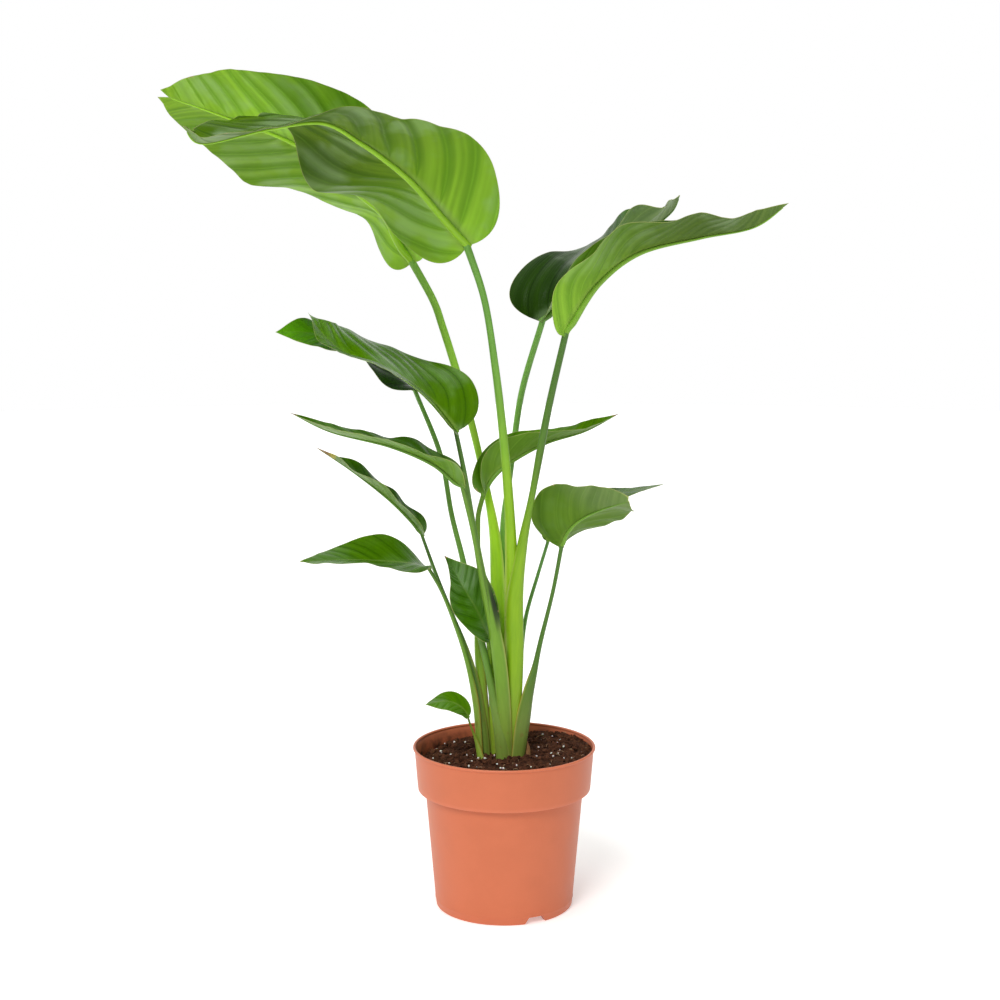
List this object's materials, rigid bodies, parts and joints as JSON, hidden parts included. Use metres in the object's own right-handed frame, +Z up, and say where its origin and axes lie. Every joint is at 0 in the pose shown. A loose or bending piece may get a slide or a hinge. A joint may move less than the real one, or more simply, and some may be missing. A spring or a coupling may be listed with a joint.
{
  "type": "potted house plant",
  "caption": "Giant bird of paradise plant: large arching paddle leaves on long sheathed stalks, growing from dark soil in a round terracotta-coloured plastic pot.",
  "frame": {"origin": "centre of the flat pad under the pot, on the pot's axis, in the plane the pot stands on", "axes": "+Z up along the pot's axis, +X to the viewer's right and -Y towards the viewer in the picture"},
  "size_m": [0.6785, 0.4536, 0.9444],
  "materials": {
    "pot": "satin",
    "soil": "matte",
    "stalk": "satin",
    "bright_stalk": "satin",
    "leaf": "satin",
    "top_leaf": "satin",
    "dry_sheath": "matte"
  },
  "bodies": {
    "root": {"stalk_top_rear": "bright_stalk", "stalk_top_front": "bright_stalk", "stalk_upper_right": "bright_stalk", "stalk_upper_right_rear": "stalk", "stalk_mid_left": "stalk", "stalk_left_upper": "stalk", "stalk_left_narrow": "stalk", "stalk_left_small": "stalk", "stalk_left_low": "stalk", "stalk_inner_low": "stalk", "stalk_right_thin": "bright_stalk", "stalk_right_round": "stalk", "stalk_right_rear": "stalk", "stalk_baby": "stalk", "spear": "bright_stalk", "leaf_top_rear": "top_leaf", "leaf_top_front": "top_leaf", "leaf_upper_right": "leaf", "leaf_upper_right_rear": "leaf", "leaf_mid_left": "leaf", "leaf_left_upper": "leaf", "leaf_left_narrow": "leaf", "leaf_left_small": "leaf", "leaf_left_low": "leaf", "leaf_inner_low": "leaf", "leaf_right_thin": "leaf", "leaf_right_round": "leaf", "leaf_right_rear": "leaf", "leaf_baby": "leaf", "dry_sheath": "dry_sheath", "soil": "soil", "pot": "pot"}
  },
  "joints": []
}
